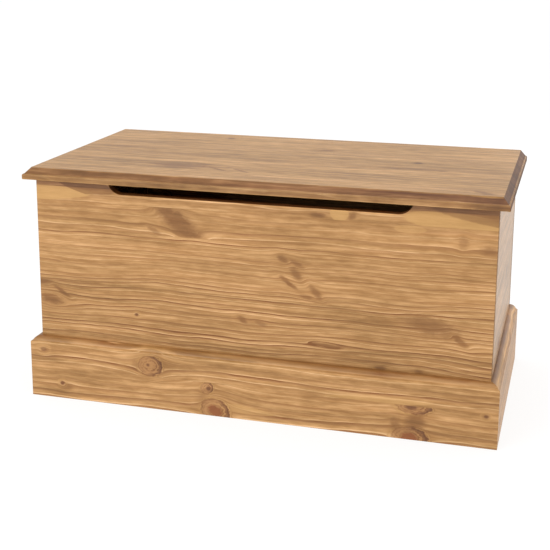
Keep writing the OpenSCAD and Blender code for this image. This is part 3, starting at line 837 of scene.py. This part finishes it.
def lid_panel():
    low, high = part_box("lid_panel")
    width, depth, thickness = (high - low) / MM
    bm = bmesh.new()
    rows = []
    for d, height in lid_section(thickness):
        d, z = d * MM, low.z + height * MM
        rows.append([bm.verts.new(p) for p in (
            (low.x + d, high.y, z), (low.x + d, low.y + d, z),
            (high.x - d, low.y + d, z), (high.x - d, high.y, z))])
    for a, b in zip(rows, rows[1:]):
        for i in range(3):
            bm.faces.new((a[i], a[i + 1], b[i + 1], b[i]))
    bm.faces.new(rows[0])
    bm.faces.new(rows[-1][::-1])
    bm.faces.new([row[0] for row in rows] + [row[3] for row in reversed(rows)])
    staves = [
        Stave(-30, 62, 170, 50, 7.2, 0.6, 0.03), Stave(62, 118, -20, 50, 7.6, 0.5, 0.01),
        Stave(118, 183, 300, 50, 7.0, 0.6, 0.01), Stave(183, 244, 380, 50, 7.0, 0.8, -0.09),
        Stave(244, 301, 200, 50, 7.6, 0.6, 0.05), Stave(301, 364, 440, 45, 7.2, 0.8, -0.05),
        Stave(364, 470, 250, 50, 7.0, 0.8, 0.03),
    ]
    marks = [
        Mark("smudge", 257, 336, 31, 1.7, 0, 0.9, 0.5, stave=5),
        Mark("smudge", 299, 312, 9, 2.0, -20, 0.6, 0, stave=5),
        Mark("smudge", 331, 346, 4, 7, 34, 0.9, stave=5), Mark("smudge", 377, 350, 4, 7, 38, 0.9, stave=5),
        Mark("smudge", 443, 350, 3, 9, 4, 0.6, stave=5),
        Mark("smudge", 478, 117, 9, 2.0, 0, 1.0), Mark("pin", 663, 190, 8, 1.4, 0, 1.0),
        Mark("pin", 262, 44, 9, 1.2, 0, 0.7),
        Mark("smudge", 93, 185, 8, 8, 0, 0.6), Mark("smudge", 393, 252, 5, 8, 0, 0.6),
        Mark("smudge", 653, 249, 6, 12, 0, 0.8), Mark("smudge", 715, 250, 5, 2, 0, 0.9),
        Mark("smudge", 795, 400, 8, 2, 30, 1.0), Mark("smudge", 809, 412, 6, 2, 0, 1.0),
        Mark("smudge", 818, 434, 8, 5, 0, 0.7, 0),
    ]

    def stain_and_painted_light(grain):
        """Stain gathers on the moulded edge, most of all on its bevel. The edge also gets darker towards the
        right, and painted highlights run along its nose and lower arris.
        """
        height = thickness - grain.through
        right_bevel = (grain.along - (width - LID_BEVEL)).rise(-1.0, 1.0)
        edge = (grain.along - LID_BEVEL).rise(1.0, -1.0) + right_bevel
        edge = (edge + (grain.across - (depth - LID_BEVEL)).rise(-1.0, 1.0)).at_most(1.0)
        lines = grain.noise(240, 400, 1.6, 7.7, 2).rise(-0.15, 0.2) * 0.18
        # The face is darkened above its lowest 1 to 2 mm, and the band near 9 mm up is lightened as a painted
        # highlight along the nose.
        face = height.rise(0.6, 2.2) * 0.24 - (height - 9.0).abs().rise(1.6, 0.4) * 0.16
        end = (grain.along - (width - 0.8)).rise(-0.4, 0.4) * 0.3 - right_bevel * 0.04
        # Darker towards the right.
        along = grain.along * 0.00026
        bevel = height.rise(9.9, 11.2) * 0.34
        # Painted highlight along the lower arris.
        lower_arris_highlight = height.rise(1.9, 0.7) * 0.2
        return edge * (face + along + lines + bevel + end - lower_arris_highlight)

    material = pine("pine_lid", "lid_panel", ("+x", "-y", "-z"), staves, marks, seed=11.0, stain_and_painted_light=stain_and_painted_light,
                    tint=(1.02, 1.045, 1.015), contrast=1.3)
    stand_for("lid_panel", bm, material)


def lid_battens():
    for i, node in enumerate(("lid_batten_left", "lid_batten_right")):
        stand_for(node, eased_copy(node, ARRIS), plain_pine(node, ("+y", "+x", "+z"), 20 + i))


# ---------------------------------------------------------------- metal

def metal(name, slot, roughness, dull, brushed=None):
    """Plated metal with fine scratches, handling marks and a little tarnish, which dulls it to the share
    dull of its brightness. brushed is the axis along which it was drawn."""
    colour = next(m["base_color"] for m in record["materials"] if m["slot"] == slot)
    material, tree, shader = new_material(name)
    shader.inputs["Metallic"].default_value = 1.0
    grain = Grain(tree, (0, 0, 0), (0, 0, 0), ("+x", "+y", "+z"))
    scratch_size = [0.5, 0.5, 0.5]
    if brushed is not None:
        scratch_size["xyz".index(brushed)] = 30
    scratches = grain.noise(*scratch_size, 2.0, 3)
    clouds = grain.noise(9, 9, 9, 5.0, 3)
    spots = grain.noise(1.6, 1.6, 1.6, 8.0, 2).rise(0.16, 0.30)
    tone = (clouds.rise(-0.05, 0.25) * 0.55 + spots * 0.35).at_most(1.0)
    paint = mix(tone, colour, tuple(c * dull for c in colour))
    tree.links.new(paint.socket, shader.inputs["Base Color"])
    sheen = roughness + scratches * 0.25 + clouds * 0.25 + spots * 0.15
    tree.links.new(sheen.socket, shader.inputs["Roughness"])
    add_bump(tree, shader, scratches + clouds * 0.4, 0.12, 0.05 * MM)
    return material


class Screw:
    """A countersunk screw, measured on the CAD frame: its head's middle, the way it points, and sizes."""

    def __init__(self, points):
        low = Vector([min(p[i] for p in points) for i in range(3)])
        high = Vector([max(p[i] for p in points) for i in range(3)])
        size = high - low
        axis = max(range(3), key=lambda i: size[i])
        centre = (low + high) / 2
        across = [i for i in range(3) if i != axis]
        self.head_radius = max(size[i] for i in across) / 2

        def spread(end):
            return max(math.hypot(*(p[i] - centre[i] for i in across))
                       for p in points if abs(p[axis] - end[axis]) < 0.02 * MM)
        head_end, tip_end = (low, high) if spread(low) > spread(high) else (high, low)
        self.head = centre.copy()
        self.head[axis] = head_end[axis]
        self.way = Vector((0, 0, 0))
        self.way[axis] = math.copysign(1, tip_end[axis] - head_end[axis])
        self.length = size[axis]
        waist = [p for p in points if abs(p[axis] - head_end[axis]) > 0.05 * MM
                 and math.hypot(*(p[i] - centre[i] for i in across)) > 0.5 * MM]
        self.radius = max(math.hypot(*(p[i] - centre[i] for i in across)) for p in waist)
        self.head_height = self.head_radius - self.radius


def screws_of(node):
    """The screws of a CAD node, one for each of its loose solids."""
    bm = bmesh.new()
    bm.from_mesh(frame["nodes"][node].data)
    bmesh.ops.remove_doubles(bm, verts=bm.verts, dist=CAD_SEAM)
    left, screws = set(bm.verts), []
    while left:
        group, edge = set(), [left.pop()]
        while edge:
            vert = edge.pop()
            group.add(vert)
            for near in (e.other_vert(vert) for e in vert.link_edges):
                if near in left:
                    left.discard(near)
                    edge.append(near)
        screws.append(Screw([v.co.copy() for v in group]))
    bm.free()
    return sorted(screws, key=lambda s: tuple(s.head))


def add_screw(bm, screw, turn):
    """The screw with a cross recess in its head, turned by an angle."""
    r, shank, h = screw.head_radius, screw.radius, screw.head_height
    rim = add_lathe(bm, [(r - 0.15 * MM, 0), (r, 0.12 * MM), (shank, h), (shank, screw.length - 2 * shank),
                         (0.3 * MM, screw.length)], screw.head, screw.way, open_start=True)
    side = screw.way.orthogonal().normalized()
    other = screw.way.cross(side)
    reach, half = 0.58 * r, 0.14 * r
    loop = []
    for quarter in range(4):
        c, s = math.cos(quarter * math.pi / 2 + turn), math.sin(quarter * math.pi / 2 + turn)
        loop += [(c * x - s * y, s * x + c * y) for x, y in ((reach, -half), (reach, half), (half, half))]
    top = [bm.verts.new(screw.head + side * x + other * y) for x, y in loop]
    bottom = [bm.verts.new(screw.head + (side * x + other * y) * 0.5 + screw.way * 0.38 * r) for x, y in loop]
    skin(bm, top, bottom)
    bm.faces.new(bottom)
    edges = [bm.edges.get((v, w)) or bm.edges.new((v, w))
             for ring in (rim, top) for v, w in zip(ring, ring[1:] + ring[:1])]
    bmesh.ops.triangle_fill(bm, use_beauty=True, use_dissolve=False, edges=edges)


def make_screws(node, material, seed):
    """Makes the screws of a CAD node, each turned at random, and returns their measures."""
    rng = random.Random(seed)
    bm = bmesh.new()
    screws = screws_of(node)
    for screw in screws:
        add_screw(bm, screw, rng.uniform(0, math.pi / 2))
    stand_for(node, bm, material)
    return screws


def hinge_leaf(node, side, screws, material):
    """A leaf of the piano hinge: a plate with countersunk holes, and knuckles rolled round the pin.
    side is -1 for the leaf under the pin and 1 for the one above it."""
    knuckle_radius, bore_radius, leaf, pitch, gap, count = (
        2.25 * MM, 1.25 * MM, 1.0 * MM, 20 * MM, 0.3 * MM, 39)
    low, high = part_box(node)
    axis_y = high.y - knuckle_radius
    axis_z = low.z + knuckle_radius if side < 0 else high.z - knuckle_radius
    plate_edge = axis_y - knuckle_radius - 0.35 * MM
    outer_z = axis_z + side * knuckle_radius
    length = pitch * count / 2
    first = 0 if side < 0 else 1
    bm = bmesh.new()
    outline = [(-length, low.y), (length, low.y), (length, plate_edge), (-length, plate_edge)]
    corner = 2.0 * MM
    outline = arc((-length + corner, low.y + corner), corner, 180, 270, 6) + arc(
        (length - corner, low.y + corner), corner, 270, 360, 6) + outline[2:]
    holes = []
    for screw in screws:
        holes.append(((screw.head.x, screw.head.y), [
            (screw.radius + 0.45 * MM, 0), (screw.radius + 0.5 * MM, 0.15 * MM),
            (screw.head_radius + SCREW_PLAY, leaf)]))
    add_sheet(bm, outline, holes, leaf, 0.15 * MM,
              lambda x, y, height: (x, y, outer_z - side * height))
    roll = arc((0, 0), knuckle_radius, -90, 205, 26) + arc((0, 0), bore_radius, 205, -90, 26)
    tab = 0.05 * MM
    roll = [(-knuckle_radius - 0.55 * MM, -knuckle_radius + tab)] + roll + [
        (-knuckle_radius - 0.55 * MM, -bore_radius - tab)]
    for i in range(first, count, 2):
        start = -length + i * pitch + gap / 2
        ends = []
        for x in (start, start + pitch - gap):
            ends.append([bm.verts.new((x, axis_y + y, axis_z - side * z)) for y, z in roll])
        a, b = ends
        skin(bm, a, b)
        bm.faces.new(a[::-1])
        bm.faces.new(b)
    stand_for(node, bm, material, 30)


def hinge():
    """Both leaves, their screws and the pin."""
    brass = metal("brass", "hinge_brass", 0.30, 0.62, brushed="x")
    screw_brass = metal("brass_bright", "screw_brass", 0.24, 0.7)
    box_screws = make_screws("hinge_screws_box", screw_brass, 3)
    lid_screws = make_screws("hinge_screws_lid", screw_brass, 4)
    hinge_leaf("hinge_leaf_box", -1, box_screws, brass)
    hinge_leaf("hinge_leaf_lid", 1, lid_screws, brass)
    low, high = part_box("hinge_pin")
    bm = bmesh.new()
    radius, length, chamfer = (high.z - low.z) / 2, high.x - low.x, 0.3 * MM
    middle = (low + high) / 2
    add_lathe(bm, [(0, 0), (radius - chamfer, 0), (radius, chamfer), (radius, length - chamfer),
                   (radius - chamfer, length), (0, length)], (low.x, middle.y, middle.z), (1, 0, 0), 24)
    stand_for("hinge_pin", bm, metal("wire", "pin_steel", 0.28, 0.7, brushed="x"))


def stay_rivet(node, material):
    """A rivet with two domed heads."""
    low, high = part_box(node)
    middle = (low + high) / 2
    length, radius, shank, head = high.x - low.x, (high.z - low.z) / 2, 2.5 * MM, 1.5 * MM
    angles = (0, 0.3, 0.6, 0.9, 1.2, math.pi / 2)
    dome = [(radius * math.sin(a), head * (1 - math.cos(a))) for a in angles]
    profile = dome + [(shank, head), (shank, length - head)]
    profile += [(r, length - d) for r, d in reversed(dome)]
    bm = bmesh.new()
    add_lathe(bm, profile, (low.x, middle.y, middle.z), (1, 0, 0))
    stand_for(node, bm, material)


def stay_stud(node, outer, material):
    """A shoulder stud through its plate, with a collar, a neck for the arm's slot and a head."""
    low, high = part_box(node)
    middle = (low + high) / 2
    wall = low.x if outer < 0 else high.x
    length, radius = high.x - low.x, (high.z - low.z) / 2
    shank, collar, head, chamfer = 3 * MM, 4.5 * MM, 2 * MM, 0.3 * MM
    profile = [(shank, 0), (shank, 2.05 * MM), (collar - chamfer, 2.05 * MM), (collar, 2.3 * MM)]
    profile += [(collar, length - head - 4.3 * MM), (collar - chamfer, length - head - 4.0 * MM)]
    profile += [(shank, length - head - 4.0 * MM), (shank, length - head)]
    profile += [(radius - chamfer, length - head), (radius, length - head + chamfer)]
    profile += [(radius, length - 0.8 * MM), (radius - 0.8 * MM, length), (0, length)]
    bm = bmesh.new()
    add_lathe(bm, profile, (wall, middle.y, middle.z), (-outer, 0, 0))
    stand_for(node, bm, material)


def stays():
    """Both lid stays and their screws."""
    zinc = metal("zinc", "stay_zinc", 0.36, 0.72)
    for side, outer in (("left", -1), ("right", 1)):
        for part in ("arm", "bracket", "plate"):
            node = "stay_%s_%s" % (part, side)
            stand_for(node, eased_copy(node, 0.3 * MM, 2), zinc)
        stay_rivet("stay_rivet_" + side, zinc)
        stay_stud("stay_stud_" + side, outer, zinc)
    make_screws("stay_bracket_screws", zinc, 5)
    make_screws("stay_plate_screws", zinc, 6)


def wood_screws():
    """The screws in the wood. Returns the plinth's, whose holes the front panel shows."""
    zinc = metal("zinc_screw", "screw_zinc", 0.34, 0.7)
    for i, node in enumerate(("corner_post_screws", "base_batten_screws", "base_panel_screws",
                              "lid_batten_screws")):
        make_screws(node, zinc, 10 + i)
    return make_screws("plinth_screws", zinc, 20)


make_camera()
make_light()
make_floor()
plinth_screws = wood_screws()
front_panel(plinth_screws)
side_panel("left_side_panel", -1)
side_panel("right_side_panel", 1)
back_panel()
plinth_front()
plinth_side("plinth_left", -1)
plinth_side("plinth_right", 1)
carcass_inside()
lid_panel()
lid_battens()
hinge()
stays()
